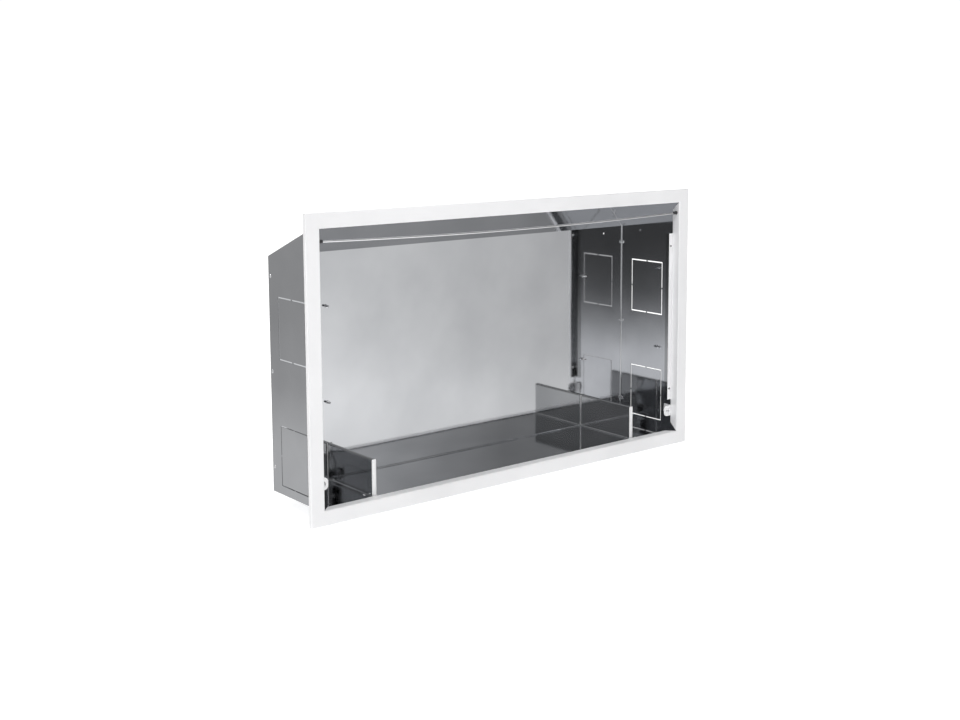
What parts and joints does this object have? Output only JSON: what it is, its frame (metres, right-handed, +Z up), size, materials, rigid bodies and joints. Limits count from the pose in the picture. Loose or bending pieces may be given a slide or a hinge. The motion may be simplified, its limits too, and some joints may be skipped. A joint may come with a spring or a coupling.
{
  "type": "recessed standpipe cabinet",
  "caption": "Open-fronted recessed wall cabinet in stainless steel with a flat trim flange, sloping top, knock-out pipe entries in both sides and low dividers on the floor.",
  "frame": {"origin": "middle of the footprint, level with the lower edge of the trim flange", "axes": "+X to the right seen from the room, +Y into the wall, +Z up"},
  "size_m": [0.914, 0.169, 0.533],
  "materials": {
    "satin_steel": "fine satin stainless steel, almost white where it faces the light",
    "bright_steel": "cold-rolled bright stainless sheet, a soft blurred mirror",
    "rod_steel": "polished drawn rod",
    "fasteners": "bright stainless fasteners",
    "stud_steel": "dark plated threaded studs",
    "dark_plastic": "dark moulded plastic"
  },
  "bodies": {
    "root": {"trim_flange": "satin_steel", "left_stop_angle": "satin_steel", "right_stop_angle": "satin_steel", "left_cover_bracket": "satin_steel", "right_cover_bracket": "satin_steel", "back_panel": "bright_steel", "left_side_panel": "bright_steel", "right_side_panel": "bright_steel", "floor_panel": "bright_steel", "sloping_top_panel": "bright_steel", "left_divider": "bright_steel", "right_divider": "bright_steel", "left_lower_knockout": "bright_steel", "left_upper_knockout": "bright_steel", "right_lower_knockout": "bright_steel", "right_upper_knockout": "bright_steel", "left_cover_screw": "fasteners", "right_cover_screw": "fasteners", "left_cover_nut": "fasteners", "right_cover_nut": "fasteners", "head_rod": "rod_steel", "left_rod_socket": "dark_plastic", "right_rod_socket": "dark_plastic", "back_wall_studs": "stud_steel", "left_corner_rivets": "fasteners", "right_corner_rivets": "fasteners", "left_divider_rivets": "fasteners", "right_divider_rivets": "fasteners"}
  },
  "joints": []
}
